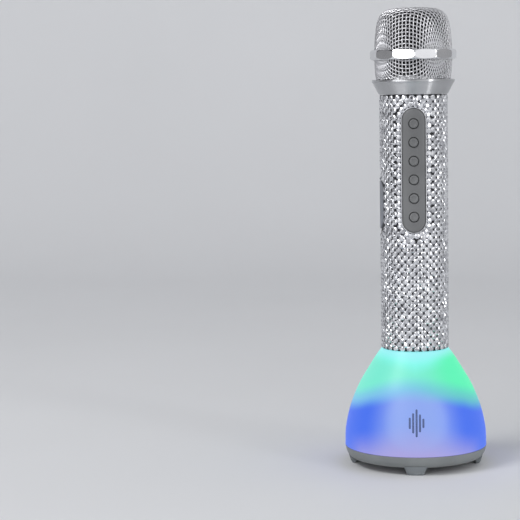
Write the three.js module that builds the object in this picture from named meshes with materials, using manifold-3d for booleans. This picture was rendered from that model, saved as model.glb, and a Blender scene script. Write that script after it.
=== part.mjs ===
// Toy karaoke microphone that stands on its own speaker base.
// Millimetres, +Z up. The origin is on the table, under the middle of the base, and the controls face -Y.
import * as THREE from "three";
import { mergeVertices } from "three/addons/utils/BufferGeometryUtils.js";
import Module from "manifold-3d";

const wasm = await Module();
wasm.setup();

// ---- Driving dimensions ----
const GAP = 0.3; // clearance between neighbouring pieces
const FACES = 32; // facets round the large turned pieces
const INNER_FACES = 20; // facets round the hidden turned pieces
const SMALL_FACES = 12; // facets round buttons and sockets
const HOLE_FACES = 10; // facets round screws and their holes

const FOOT_H = 4.1; // the base ring stands this high off the table
const SEAM_Z = 10.5; // top of the base ring
const BASE_R = 39.6; // base ring and the bell's widest part
const RECESS_R = 33.2; // opening in the base ring that takes the grille

const GRIP_R = 19; // handle radius over the stones
const GRIP_Z0 = 65.5; // bottom of the handle
const GRIP_Z1 = 206.6; // top of the handle
const SLEEVE_R = 17.7; // inside of the stone-covered sleeve
const TUBE_R = 17.4; // outside of the handle tube
const BORE_R = 15.8; // inside of the handle tube

const COLLAR_Z0 = GRIP_Z1 + GAP;
const COLLAR_Z1 = 215;
const COLLAR_R = 22.9;
const MESH_R = 21.4; // wire mesh radius at the band
const MESH_T = 0.9; // wire mesh thickness
const BAND_Z0 = 225.8;
const BAND_Z1 = 231.5;
const BAND_R = 23.8; // band radius over its twelve corners
const BAND_SIDES = 12;
const BAND_TURN = 2.3; // degrees that one corner stands round from the front
const TOP_Z = 254.5;

const PANEL_W = 12.7; // control strip
const PANEL_L = 67.7;
const PANEL_Z = 165.5; // middle of the strip
const PANEL_R = 19.1; // the strip's face follows this radius
const PANEL_BACK = 17.2; // distance of its flat back from the axis
const BEZEL_W = 14.1;
const BUTTON_COUNT = 6;
const BUTTON_PITCH = 10.2;
const BUTTON_R = 2.5;
const BUTTON_TRAVEL = 0.6;
const CAP_FACE = 19.6; // distance of the button faces from the axis

const PORT_W = 14.2; // port opening in the handle's side
const PORT_Z0 = 131.5;
const PORT_Z1 = 162;
const PIVOT_X = -18.4; // axis that the port cover swings on
const PIVOT_Z = 160.4;

const BOARD_Y = -12.6; // front face of the main board
const BOARD_T = 1.6;
const PLUNGER_TIP = 15.3; // distance of the switch plungers' ends from the axis
const CELL_R = 9.2; // round battery cell
const CELL_Y = 3;
const CELL_Z0 = 82;
const CELL_L = 65;

// ---- Finishes ----
const finish = (color, roughness, metalness) =>
  new THREE.MeshStandardMaterial({ color, roughness, metalness });
const CHROME = finish(0xdadde0, 0.08, 1);
const SATIN_STEEL = finish(0xb4b6b9, 0.3, 1);
const WIRE = finish(0xbfc1c4, 0.3, 1);
const STONES = finish(0xd8dadd, 0.2, 0.8);
const GREY_PLASTIC = finish(0x7b7e82, 0.45, 0);
const DARK_GREY = finish(0x6d7074, 0.5, 0);
const PORT_RUBBER = finish(0x8c9299, 0.6, 0);
const BLACK_PLASTIC = finish(0x1c1d1f, 0.5, 0);
const WHITE_PLASTIC = finish(0xe8e8e6, 0.4, 0);
const DIFFUSER = finish(0xbfe6ff, 0.35, 0);
const FOAM = finish(0x18181a, 0.95, 0);
const RUBBER = finish(0x2a2b2d, 0.8, 0);
const BOARD_GREEN = finish(0x1f5a38, 0.5, 0);
const CHIP = finish(0x141416, 0.4, 0);
const BRASS = finish(0xc9a04a, 0.3, 1);
const CELL_WRAP = finish(0x2f6fb5, 0.35, 0);
const CONE_PAPER = finish(0x242424, 0.8, 0);

const microphone = new THREE.Group();

// ---- Tools ----
function add(name, geometry, material) {
  const piece = new THREE.Mesh(geometry, material);
  piece.name = name;
  microphone.add(piece);
  return piece;
}

function solidOf(geometry) {
  const bare = geometry.clone();
  bare.deleteAttribute("normal");
  bare.deleteAttribute("uv");
  const merged = mergeVertices(bare, 1e-4);
  return new wasm.Manifold(
    new wasm.Mesh({
      numProp: 3,
      vertProperties: merged.attributes.position.array,
      triVerts: new Uint32Array(merged.index.array),
    }),
  );
}

function geometryOf(solid) {
  const { vertProperties, triVerts } = solid.getMesh();
  const geometry = new THREE.BufferGeometry();
  geometry.setAttribute("position", new THREE.BufferAttribute(vertProperties, 3));
  geometry.setIndex(new THREE.BufferAttribute(triVerts, 1));
  const faceted = geometry.toNonIndexed();
  faceted.computeVertexNormals();
  return faceted;
}

const cut = (body, ...tools) => tools.reduce((rest, tool) => rest.subtract(tool), body);
const join = (body, ...others) => others.reduce((whole, other) => whole.add(other), body);

// Turns a closed outline of [radius, z] points about Z. The points run up the outside and down the inside.
function turned(outline, faces = FACES) {
  const points = outline.map(([r, z]) => new THREE.Vector2(r, z));
  const hollow = points[0].x > 0 || points.at(-1).x > 0;
  if (hollow) points.push(points[0].clone());
  return new THREE.LatheGeometry(points, faces).rotateX(Math.PI / 2);
}

const rod = (r, z0, z1, faces = SMALL_FACES) => turned([[0, z0], [r, z0], [r, z1], [0, z1]], faces);

function box(x0, x1, y0, y1, z0, z1) {
  const geometry = new THREE.BoxGeometry(x1 - x0, y1 - y0, z1 - z0);
  return geometry.translate((x0 + x1) / 2, (y0 + y1) / 2, (z0 + z1) / 2);
}

// A slot outline with half-round ends, long in Z, standing in the XZ plane and pushed through from y0 to y1.
function slotBlock(width, length, zMid, y0, y1, curveSteps = 6) {
  const r = width / 2;
  const straight = length / 2 - r;
  const outline = new THREE.Shape();
  outline.absarc(0, straight, r, 0, Math.PI, false);
  outline.absarc(0, -straight, r, Math.PI, 2 * Math.PI, false);
  const block = new THREE.ExtrudeGeometry(outline, {
    depth: y1 - y0,
    bevelEnabled: false,
    curveSegments: curveSteps,
  });
  return block.rotateX(Math.PI / 2).translate(0, y1, zMid);
}

// The same slot, facing -X instead of -Y.
const sideSlotBlock = (width, length, zMid, x0, x1) =>
  slotBlock(width, length, zMid, x0, x1).rotateZ(-Math.PI / 2);

const smooth = (outline, steps) =>
  new THREE.SplineCurve(outline.map(([r, z]) => new THREE.Vector2(r, z)))
    .getPoints(steps)
    .map((point) => [point.x, point.y]);

// Moves an outline sideways by a wall's thickness, towards the axis.
function inset(outline, wall) {
  return outline.map(([r, z], i) => {
    const [r0, z0] = outline[Math.max(i - 1, 0)];
    const [r1, z1] = outline[Math.min(i + 1, outline.length - 1)];
    const length = Math.hypot(r1 - r0, z1 - z0);
    return [Math.max(r - (wall * (z1 - z0)) / length, 0), z + (wall * (r1 - r0)) / length];
  });
}

const radians = (degrees) => (degrees * Math.PI) / 180;

// ---- Base ----
const SCREW_R = 30.2; // circle that the base screws stand on
const SCREW_TURN = 45; // degrees from the front foot to the first screw
const screwPlaces = [0, 1, 2, 3].map((i) => radians(SCREW_TURN + 90 * i));
const aroundScrews = (geometry) =>
  screwPlaces.map((turn) => solidOf(geometry.clone().translate(0, -SCREW_R, 0).rotateZ(turn)));

function makeBaseRing() {
  const LEDGE_R = 25.2;
  const LEDGE_Z = 6.2;
    const ring = turned([
    [36.6, FOOT_H],
    [37.8, 4.7],
    [38.9, 6.9],
    [BASE_R, SEAM_Z],
    [38, SEAM_Z],
    [38, 6.6],
    [34.8, 6.6],
    [34.8, SEAM_Z - 0.1],
    [LEDGE_R, SEAM_Z - 0.1],
    [LEDGE_R, LEDGE_Z],
    [RECESS_R, LEDGE_Z],
    [RECESS_R, FOOT_H],
  ]);
  const headHoles = aroundScrews(rod(2.6, LEDGE_Z - 1, 8.4, HOLE_FACES));
  const shankHoles = aroundScrews(rod(1.6, 8, SEAM_Z + 1, HOLE_FACES));
  add("base_ring", geometryOf(cut(solidOf(ring), ...headHoles, ...shankHoles)), DARK_GREY);
}

function makeSpeakerGrille() {
  add("speaker_grille", rod(RECESS_R - GAP, 4.7, 5.8, FACES), WIRE);
}

function makeFeet() {
  const INNER_R = 33.8;
  const OUTER_R = 37;
  const TOP_W = 13;
  const FLOOR_W = 10.5;
  const topZ = FOOT_H - GAP;
  const band = solidOf(turned([[OUTER_R - 0.8, 0], [OUTER_R, topZ], [INNER_R, topZ], [INNER_R, 0]]));
  const flanks = new THREE.Shape();
  flanks.moveTo(-FLOOR_W / 2, -1);
  flanks.lineTo(FLOOR_W / 2, -1);
  flanks.lineTo(TOP_W / 2, topZ + 1);
  flanks.lineTo(-TOP_W / 2, topZ + 1);
  const wedge = new THREE.ExtrudeGeometry(flanks, { depth: BASE_R, bevelEnabled: false });
  wedge.rotateX(Math.PI / 2);
  ["front", "right", "back", "left"].forEach((side, i) => {
    const turn = radians(90 * i);
    add(`foot_${side}`, geometryOf(band.intersect(solidOf(wedge.clone().rotateZ(turn)))), RUBBER);
  });
}

function makeBaseScrews() {
  const screw = turned([[0, 6.5], [2.2, 6.5], [2.2, 8], [1.2, 8], [1.2, 16], [0, 17]], HOLE_FACES);
  screwPlaces.forEach((turn, i) => {
    add(`base_screw_${i + 1}`, screw.clone().translate(0, -SCREW_R, 0).rotateZ(turn), SATIN_STEEL);
  });
}

// ---- Bell ----
const BELL_T = 2.2;
const bellOutside = smooth(
  [[39.6, 10.8], [39.1, 21], [36.3, 33], [31.5, 44.8], [26.4, 53.6], [22, 60.7], [19.1, 64.7]],
  9,
);

function makeLightDiffuser() {
  const inside = inset(bellOutside, BELL_T).filter(([, z]) => z > 11 && z < 62);
  const diffuser = turned([
    ...bellOutside,
    [18.6, 65.2],
    [14.5, 65.2],
    [14.5, 62.9],
    [18.6, 62.9],
    ...inside.reverse(),
    [37.4, 10.8],
  ]);
  add("light_diffuser", diffuser, DIFFUSER);
}

function makeNeck() {
  const adapter = [[14.2, 54], [14.2, GRIP_Z0 + 0.3], [15.5, GRIP_Z0 + 0.3], [15.5, 80], [11, 80], [11, 54]];
  add("neck_adapter", turned(adapter, INNER_FACES), BLACK_PLASTIC);
  add("neck_nut", turned([[17, 59.4], [17, 62.6], [14.5, 62.6], [14.5, 59.4]], INNER_FACES), BLACK_PLASTIC);
}

const SHOULDER_Z = 40; // step on the sound chamber that carries the light board

function makeSoundChamber() {
  const chamber = turned(
    [
      [36.4, 10.7],
      [36.4, 12.4],
      [28.5, 12.4],
      [28.5, 26],
      [21.5, SHOULDER_Z],
      [14.5, SHOULDER_Z],
      [14.5, 50],
      [3, 50],
      [3, 48.2],
      [12.9, 48.2],
      [12.9, 38.4],
      [20.6, 38.4],
      [26.9, 25.8],
      [26.9, 10.7],
    ],
    INNER_FACES,
  );
  const bosses = aroundScrews(rod(2.6, 11, 19, HOLE_FACES));
  const holes = aroundScrews(rod(1.6, 10, 17.4, HOLE_FACES));
  add("sound_chamber", geometryOf(cut(join(solidOf(chamber), ...bosses), ...holes)), WHITE_PLASTIC);
}

// The ring board and the six light emitters soldered to it are one piece.
function makeLightBoard() {
  const bottom = SHOULDER_Z + GAP;
  const top = bottom + 1.2;
  const half = 2.5;
  const board = turned([[21.5, bottom], [21.5, top], [14.9, top], [14.9, bottom]], INNER_FACES);
  const emitters = [];
  for (let i = 0; i < 6; i += 1) {
    const emitter = box(-half, half, -18.2 - half, -18.2 + half, top - 0.2, top + 1.6);
    emitters.push(solidOf(emitter.rotateZ(radians(60 * i))));
  }
  add("light_board", geometryOf(join(solidOf(board), ...emitters)), BOARD_GREEN);
}

// ---- Loudspeaker: it faces down, behind the grille, and its cone moves along Z ----
function makeSpeaker() {
  const basket = [
    [24.2, 10.9], [26.6, 10.9], [26.6, 12.2], [25.2, 12.6], [17, 22.7], [9.8, 22.7], [9.8, 21.7],
    [16.2, 21.7], [24.2, 12],
  ];
  const windows = [0, 1, 2, 3].map((i) =>
    solidOf(box(-5, 5, -23, -17, 14.8, 19.6).rotateZ(radians(90 * i))),
  );
  add("speaker_basket", geometryOf(cut(solidOf(turned(basket, INNER_FACES)), ...windows)), BLACK_PLASTIC);
  const magnet = [[0, 23], [7.7, 23], [7.7, 30.5], [9.4, 30.5], [9.4, 23], [17, 23], [17, 33], [0, 33]];
  add("speaker_magnet", turned(magnet, INNER_FACES), SATIN_STEEL);
  const surround = [
    ...smooth([[20.2, 9.9], [21.2, 9.9], [22.6, 8.5], [24, 9.9], [24.9, 9.9]], 5),
    [24.9, 10.5],
    ...smooth([[23.8, 10.5], [22.6, 9.2], [21.4, 10.5], [20.2, 10.5]], 4),
  ];
  add("speaker_surround", turned(surround, INNER_FACES), RUBBER);
  const cone = [[21.4, 10.8], [21.4, 11.5], [9.2, 19.5], [9.2, 18.7]];
  add("speaker_cone", turned(cone, INNER_FACES), CONE_PAPER);
  add("voice_coil", turned([[8.9, 19.9], [8.9, 28.4], [8.2, 28.4], [8.2, 19.9]], INNER_FACES), BRASS);
  const capUnder = smooth([[0, 14.9], [4.6, 15.6], [8.9, 17.8]], 3);
  const capOver = capUnder.map(([r, z]) => [r, z + 0.6]).reverse();
  add("dust_cap", turned([...capUnder, ...capOver], INNER_FACES), CONE_PAPER);
  add("speaker_spider", turned([[16, 20.8], [16, 21.3], [9.2, 21.3], [9.2, 20.8]], INNER_FACES), FOAM);
}

// ---- Handle ----
const controlSlot = (width, length) => solidOf(slotBlock(width, length, PANEL_Z, -GRIP_R - 2, -8));
const portMid = (PORT_Z0 + PORT_Z1) / 2;
const portLength = PORT_Z1 - PORT_Z0;
const portSlot = (shrink) =>
  solidOf(sideSlotBlock(PORT_W - shrink, portLength - shrink, portMid, -GRIP_R - 2, -8));

function makeHandle() {
  const tube = turned([[TUBE_R, GRIP_Z0], [TUBE_R, 206.3], [BORE_R, 206.3], [BORE_R, GRIP_Z0]]);
  const buttonSlot = controlSlot(11, PANEL_L + 1);
  add("handle_tube", geometryOf(cut(solidOf(tube), buttonSlot, portSlot(1.6))), GREY_PLASTIC);
  const sleeve = turned([[GRIP_R, GRIP_Z0], [GRIP_R, GRIP_Z1], [SLEEVE_R, GRIP_Z1], [SLEEVE_R, GRIP_Z0]]);
  const bezelSlot = controlSlot(BEZEL_W + GAP, PANEL_L + BEZEL_W - PANEL_W + GAP);
  add("gem_sleeve", geometryOf(cut(solidOf(sleeve), bezelSlot, portSlot(0))), STONES);
}

const buttonZ = (i) => PANEL_Z + BUTTON_PITCH * ((BUTTON_COUNT - 1) / 2 - i);
const facingFront = (geometry, z) => geometry.rotateX(Math.PI / 2).translate(0, 0, z);

function makeControls() {
  const rimR = PANEL_R + 0.1;
  const shell = solidOf(turned([[rimR, 120], [rimR, 210], [SLEEVE_R, 210], [SLEEVE_R, 120]]));
  const rim = shell.intersect(controlSlot(BEZEL_W, PANEL_L + BEZEL_W - PANEL_W));
  const opening = controlSlot(PANEL_W + GAP, PANEL_L + GAP);
  add("control_bezel", geometryOf(rim.subtract(opening)), CHROME);

  const faceCurve = solidOf(turned([[0, 120], [PANEL_R, 120], [PANEL_R, 210], [0, 210]], 72));
  const strip = solidOf(slotBlock(PANEL_W, PANEL_L, PANEL_Z, -GRIP_R - 2, -PANEL_BACK));
  const holes = [];
  for (let i = 0; i < BUTTON_COUNT; i += 1) {
    holes.push(solidOf(facingFront(rod(BUTTON_R + GAP, 8, GRIP_R + 3), buttonZ(i))));
  }
  add("control_panel", geometryOf(cut(strip.intersect(faceCurve), ...holes)), GREY_PLASTIC);

  const stemTip = PLUNGER_TIP + GAP + BUTTON_TRAVEL;
  const flange = stemTip + 0.2;
  const button = [
    [0, stemTip], [1.2, stemTip], [1.2, flange], [3.3, flange], [3.3, flange + 0.5], [BUTTON_R, flange + 0.5],
    [BUTTON_R, CAP_FACE - 0.3], [BUTTON_R - 0.3, CAP_FACE], [0, CAP_FACE],
  ];
  for (let i = 0; i < BUTTON_COUNT; i += 1) {
    add(`button_${i + 1}`, facingFront(turned(button, SMALL_FACES), buttonZ(i)), GREY_PLASTIC);
  }
}

function makePort() {
  const shell = solidOf(turned([[GRIP_R, 120], [GRIP_R, 170], [SLEEVE_R + 0.1, 170], [SLEEVE_R + 0.1, 120]]));
  const coverW = PORT_W - 2 * GAP;
  const coverZ0 = PORT_Z0 + 0.7;
  const coverZ1 = PIVOT_Z - 1;
  const coverMid = (coverZ0 + coverZ1) / 2;
  const outline = solidOf(sideSlotBlock(coverW, coverZ1 - coverZ0, coverMid, -GRIP_R - 2, -8));
  const pull = solidOf(rod(1.4, -1, 3).rotateY(-Math.PI / 2).translate(-GRIP_R + 0.4, 0, coverZ0 + 0.4));
  add("port_cover", geometryOf(cut(shell.intersect(outline), pull)), PORT_RUBBER);

  const barrel = solidOf(rod(0.6, -3, 3, 12).rotateX(Math.PI / 2).translate(PIVOT_X, 0, PIVOT_Z));
  const leg = solidOf(box(PIVOT_X, PIVOT_X + 0.8, -2, 2, PIVOT_Z, PORT_Z1 - GAP));
  add("cover_hinge", geometryOf(barrel.add(leg)), PORT_RUBBER);

  const FLOOR_X = -14.6;
  const trayOuter = solidOf(sideSlotBlock(12, 27.4, portMid, -16.4, -13.4));
  const trayInner = solidOf(sideSlotBlock(10, 25.4, portMid, -17, FLOOR_X));
  const socketZ = 150.5;
  const jackZ = 139;
  const socketHole = solidOf(box(-17, -12, -2, 2, socketZ - 4.9, socketZ + 4.9));
  const jackHole = solidOf(rod(3.2, 12, 17).rotateY(-Math.PI / 2).translate(0, 0, jackZ));
  add("port_bay", geometryOf(cut(trayOuter, trayInner, socketHole, jackHole)), BLACK_PLASTIC);

  const can = solidOf(box(-15.9, -9.7, -1.6, 1.6, socketZ - 4.5, socketZ + 4.5));
  const mouth = solidOf(box(-17, -10.6, -1.25, 1.25, socketZ - 4.15, socketZ + 4.15));
  const tongue = solidOf(box(-15.2, -10.5, -0.35, 0.35, socketZ - 3.3, socketZ + 3.3));
  add("charging_socket", geometryOf(join(cut(can, mouth), tongue)), SATIN_STEEL);

  const jack = [[0, 9.7], [2.9, 9.7], [2.9, 15.9], [1.8, 15.9], [1.8, 10.6], [0, 10.6]];
  add("audio_socket", turned(jack, SMALL_FACES).rotateY(-Math.PI / 2).translate(0, 0, jackZ), BLACK_PLASTIC);
}

function makeElectronics() {
  const backY = BOARD_Y + BOARD_T;
  add("main_board", box(-7, 7, BOARD_Y, backY, 84, 197.5), BOARD_GREEN);
  for (let i = 0; i < BUTTON_COUNT; i += 1) {
    const z = buttonZ(i);
    const base = solidOf(box(-2.6, 2.6, BOARD_Y - 2, BOARD_Y - GAP, z - 2.6, z + 2.6));
    const plunger = solidOf(facingFront(rod(1.2, PLUNGER_TIP - 0.9, PLUNGER_TIP, HOLE_FACES), z));
    add(`tact_switch_${i + 1}`, geometryOf(base.add(plunger)), BLACK_PLASTIC);
  }
  add("radio_module", box(-5, 5, backY + GAP, backY + 1.9, 170, 188), CHIP);
  add("amplifier_chip", box(-3.5, 3.5, backY + GAP, backY + 1.6, 96, 103), CHIP);

  const cell = [
    [0, 0], [CELL_R - 0.5, 0], [CELL_R, 0.6], [CELL_R, CELL_L - 0.6], [CELL_R - 0.6, CELL_L], [3, CELL_L],
    [3, CELL_L + 1], [0, CELL_L + 1],
  ];
  add("battery_cell", turned(cell, INNER_FACES).translate(0, CELL_Y, CELL_Z0), CELL_WRAP);

  const OPEN = radians(20);
  const cradle = new THREE.Shape();
  cradle.absarc(0, 0, CELL_R + 1.5, OPEN, Math.PI - OPEN, false);
  cradle.absarc(0, 0, CELL_R + GAP, Math.PI - OPEN, OPEN, true);
  const trough = new THREE.ExtrudeGeometry(cradle, {
    depth: CELL_L - 2,
    bevelEnabled: false,
    curveSegments: 9,
  });
  add("battery_cradle", trough.translate(0, CELL_Y, CELL_Z0 + 1), BLACK_PLASTIC);
}

function lead(points, steps) {
  const route = new THREE.CatmullRomCurve3(points.map((point) => new THREE.Vector3(...point)));
  const section = new THREE.Shape();
  section.absarc(0, 0, 0.9, 0, 2 * Math.PI, false);
  return new THREE.ExtrudeGeometry(section, { steps, extrudePath: route, curveSegments: 4 });
}

function makeLeads() {
  const speakerRoute = [
    [20.4, 0, 24.6], [20, 0, 32], [15, 0, 36.2], [5, 0, 38], [0, 0, 46],
    [0, 0, 53], [0, -4, 65], [0, -8.6, 77], [0, -9.2, 90],
  ];
  add("speaker_lead", lead(speakerRoute, 22), RUBBER);
  add("capsule_lead", lead([[0, 0, 202.6], [0, -3, 197], [0, -8, 192], [0, -9.4, 190.5]], 8), RUBBER);
}

// ---- Head ----
function makeCollar() {
  const collar = [
    [15.5, 199], [15.5, COLLAR_Z0], [19.1, COLLAR_Z0], [22.4, 213.4], [COLLAR_R, 213.7],
    [COLLAR_R, COLLAR_Z1], [19.6, COLLAR_Z1], [19.6, 211.4], [13.6, 211.4], [13.6, 199],
  ];
  add("head_collar", turned(collar), SATIN_STEEL);
  const skirt = [[18.2, 211.8], [19.3, 211.8], [19.3, 215.3], [20.1, 215.3], [20.1, 216.8], [18.2, 216.8]];
  add("grille_skirt", turned(skirt, INNER_FACES), SATIN_STEEL);
}

const domeOutside = smooth(
  [
    [MESH_R, 228.9], [MESH_R, 233.7], [20.9, 240.3], [19.8, 246.6],
    [17.8, 250.9], [14.3, 253.3], [8.8, 254.2], [0, TOP_Z],
  ],
  9,
);

function makeGrilles() {
  const dome = [...domeOutside, ...inset(domeOutside, MESH_T).reverse()];
  dome[domeOutside.length] = [0, TOP_Z - MESH_T];
  add("upper_grille", turned(dome), WIRE);
  const lowerR = MESH_R - 0.1;
  const lower = [[lowerR - 0.2, 215.3], [lowerR, 222], [lowerR, 228.5], [20.45, 228.5], [20.45, 215.3]];
  add("lower_grille", turned(lower), WIRE);

  const rounded = turned([
    [21.8, BAND_Z0], [22.7, BAND_Z0 + 0.7], [BAND_R, BAND_Z0 + 2], [BAND_R, BAND_Z1 - 1.1],
    [22.8, BAND_Z1 - 0.3], [21.8, BAND_Z1], [21.7, BAND_Z0 + 0.1],
  ], 2 * BAND_SIDES).rotateZ(radians(BAND_TURN));
  const prism = rod(BAND_R, BAND_Z0 - 1, BAND_Z1 + 1, BAND_SIDES).rotateZ(radians(BAND_TURN));
  add("grille_band", geometryOf(solidOf(rounded).intersect(solidOf(prism))), CHROME);
}

function makeWindscreen() {
  const FOAM_T = 3;
  const DROP = 1.6; // how far the foam's top is under the mesh's top
  const outside = domeOutside.map(([r, z]) => [r * 0.935, z - DROP]).filter(([, z]) => z > 230);
  const inside = outside
    .map(([r, z]) => [r - FOAM_T, z - FOAM_T])
    .filter(([r, z]) => r > 0 && z > 230)
    .reverse();
  const foam = [[19.9, 217.6], ...outside, [0, TOP_Z - DROP - FOAM_T], ...inside, [17.4, 217.6]];
  add("windscreen_foam", turned(foam, INNER_FACES), FOAM);
}

function makeCapsule() {
  const stem = [[0, 203.5], [9, 203.5], [9, 211.7], [13, 211.7], [13, 213.2], [0, 213.2]];
  const ring = [[13.5, 213.5], [14.3, 215], [13.5, 216.5], [9.3, 216.5], [9.3, 213.5]];
  const cap = [[0, 230.3], [12.8, 230.3], [12.8, 234.5], [10.6, 236.4], [0, 236.8]];
  add("capsule_stem", turned(stem, INNER_FACES), BLACK_PLASTIC);
  add("shock_ring", turned(ring, INNER_FACES), RUBBER);
  add("capsule_body", rod(12.4, 216.8, 230, INNER_FACES), SATIN_STEEL);
  add("capsule_cap", turned(cap, INNER_FACES), BRASS);
}

makeBaseRing();
makeSpeakerGrille();
makeFeet();
makeBaseScrews();
makeLightDiffuser();
makeNeck();
makeSoundChamber();
makeLightBoard();
makeSpeaker();
makeHandle();
makeControls();
makePort();
makeElectronics();
makeLeads();
makeCollar();
makeGrilles();
makeWindscreen();
makeCapsule();

export default microphone;
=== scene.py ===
"""Toy karaoke microphone that stands on its own speaker base: shown pieces, finishes, light and camera."""
import math
import random

import bmesh
import bpy
import numpy as np
from mathutils import Matrix, Vector


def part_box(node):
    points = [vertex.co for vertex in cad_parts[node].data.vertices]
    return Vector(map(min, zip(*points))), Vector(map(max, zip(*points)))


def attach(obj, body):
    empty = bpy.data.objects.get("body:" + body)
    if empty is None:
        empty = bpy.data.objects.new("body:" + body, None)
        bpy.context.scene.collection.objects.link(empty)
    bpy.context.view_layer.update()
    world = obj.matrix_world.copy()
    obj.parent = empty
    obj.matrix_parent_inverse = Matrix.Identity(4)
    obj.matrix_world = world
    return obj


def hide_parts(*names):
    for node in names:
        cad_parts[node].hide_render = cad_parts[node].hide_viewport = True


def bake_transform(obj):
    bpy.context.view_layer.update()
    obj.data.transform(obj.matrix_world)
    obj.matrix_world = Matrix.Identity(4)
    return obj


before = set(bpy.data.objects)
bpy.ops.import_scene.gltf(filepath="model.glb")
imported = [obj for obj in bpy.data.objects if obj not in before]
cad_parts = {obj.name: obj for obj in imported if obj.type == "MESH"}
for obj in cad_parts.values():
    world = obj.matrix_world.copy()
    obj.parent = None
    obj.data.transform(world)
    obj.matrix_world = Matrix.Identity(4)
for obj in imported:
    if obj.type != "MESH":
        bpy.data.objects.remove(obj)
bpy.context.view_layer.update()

scene = bpy.context.scene
MM = 0.001  # shapes below are worked out in millimetres


# ---- Shader tools ----
class Value:
    """A shader socket that takes part in Python sums. Each sum adds its Math node."""

    def __init__(self, bench, socket):
        self.bench = bench
        self.socket = socket

    def worked(self, operation, first, second=0.0):
        return self.bench.node("Math", {"operation": operation}, {0: first, 1: second})

    def __add__(self, other):
        return self.worked("ADD", self, other)

    def __sub__(self, other):
        return self.worked("SUBTRACT", self, other)

    def __rsub__(self, other):
        return self.worked("SUBTRACT", other, self)

    def __mul__(self, other):
        return self.worked("MULTIPLY", self, other)

    def __truediv__(self, other):
        return self.worked("DIVIDE", self, other)

    def __pow__(self, other):
        return self.worked("POWER", self, other)

    def __abs__(self):
        return self.worked("ABSOLUTE", self)

    __radd__ = __add__
    __rmul__ = __mul__

    def step(self, low, high):
        """0 below low, 1 above high, and a smooth rise between."""
        settings = {"interpolation_type": "SMOOTHSTEP"}
        return self.bench.node("MapRange", settings, {"Value": self, "From Min": low, "From Max": high})


class Bench:
    """A node tree being filled. Every node comes from node()."""

    def __init__(self, tree):
        self.tree = tree
        tree.nodes.clear()

    def node(self, kind, settings=None, inputs=None, output=0):
        made = self.tree.nodes.new("ShaderNode" + kind)
        for name, setting in (settings or {}).items():
            setattr(made, name, setting)
        for key, value in (inputs or {}).items():
            socket = made.inputs[key]
            if isinstance(value, Value):
                self.tree.links.new(value.socket, socket)
            elif isinstance(value, tuple) and socket.type == "RGBA":
                socket.default_value = (*value, 1.0)
            else:
                socket.default_value = value
        return Value(self, made.outputs[output]) if len(made.outputs) else made

    def place(self):
        """The point being shaded: its vector, and its x, y and z in metres."""
        at = self.node("TexCoord", output="Object")
        return (at, *(self.node("SeparateXYZ", {}, {0: at}, output=axis) for axis in range(3)))

    def joined(self, x, y, z):
        return self.node("CombineXYZ", {}, {0: x, 1: y, 2: z})

    def noise(self, at, scale, detail=2.0, roughness=0.5):
        inputs = {"Vector": at, "Scale": scale, "Detail": detail, "Roughness": roughness}
        return self.node("TexNoise", {}, inputs)

    def mix(self, factor, first, second):
        return self.node("Mix", {"data_type": "RGBA"}, {0: factor, 6: first, 7: second}, output=2)

    def bump(self, height, depth, strength=1.0):
        return self.node("Bump", {}, {"Height": height, "Distance": depth, "Strength": strength})

    def surface(self, **sockets):
        named = {key.replace("_", " "): value for key, value in sockets.items()}
        shader = self.node("BsdfPrincipled", {}, named)
        self.node("OutputMaterial", {}, {"Surface": shader})


def new_finish(name):
    material = bpy.data.materials.new(name)
    material.use_nodes = True
    return material, Bench(material.node_tree)


def tone(red, green, blue):
    """A colour given as it looks on a screen, 0 to 255, as the linear one that shaders use."""
    return tuple(
        c / 255 / 12.92 if c <= 10 else ((c / 255 + 0.055) / 1.055) ** 2.4 for c in (red, green, blue)
    )


# ---- Shape tools ----
def box_mm(node):
    low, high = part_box(node)
    return low / MM, high / MM


def grid_faces(rows, columns, round_rows, round_columns):
    faces = []
    for j in range(rows if round_rows else rows - 1):
        for i in range(columns if round_columns else columns - 1):
            right = (i + 1) % columns
            up = (j + 1) % rows * columns
            faces.append((j * columns + i, j * columns + right, up + right, up + i))
    return faces


def turned(outline, turns=128, round_outline=True):
    """Turns an outline of (radius, height) about Z. A round outline meets itself, and another ends on the
    axis."""
    angles = [2 * math.pi * i / turns for i in range(turns)]
    points = [(r * math.sin(a), -r * math.cos(a), z) for r, z in outline for a in angles]
    return points, grid_faces(len(outline), turns, round_outline, True)


def eased(corners, steps=4):
    """Rounds the corners of a closed outline. Each corner is (radius, height, how far the rounding
    reaches)."""
    outline = []
    for i, (r, z, reach) in enumerate(corners):
        here = Vector((r, z))
        if not reach:
            outline.append((r, z))
            continue
        start = here + (Vector(corners[i - 1][:2]) - here).normalized() * reach
        end = here + (Vector(corners[(i + 1) % len(corners)][:2]) - here).normalized() * reach
        for k in range(steps + 1):
            t = k / steps
            outline.append(tuple(start.lerp(here, t).lerp(here.lerp(end, t), t)))
    return outline


def spline(knots, steps):
    """A smooth line through all the knots, with so many steps between each two."""
    knots = [np.array(knot, float) for knot in knots]
    ends = [2 * knots[0] - knots[1], *knots, 2 * knots[-1] - knots[-2]]
    line = []
    for a, b, c, d in zip(ends, ends[1:], ends[2:], ends[3:]):
        for t in (k / steps for k in range(steps)):
            line.append(0.5 * (2 * b + (c - a) * t + (2 * a - 5 * b + 4 * c - d) * t**2
                               + (3 * b - a - 3 * c + d) * t**3))
    return np.array([*line, knots[-1]])


def gathered(parts):
    points, faces = [], []
    for part_points, part_faces in parts:
        shift = len(points)
        points.extend(part_points)
        faces.extend(tuple(shift + i for i in face) for face in part_faces)
    return points, faces


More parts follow.
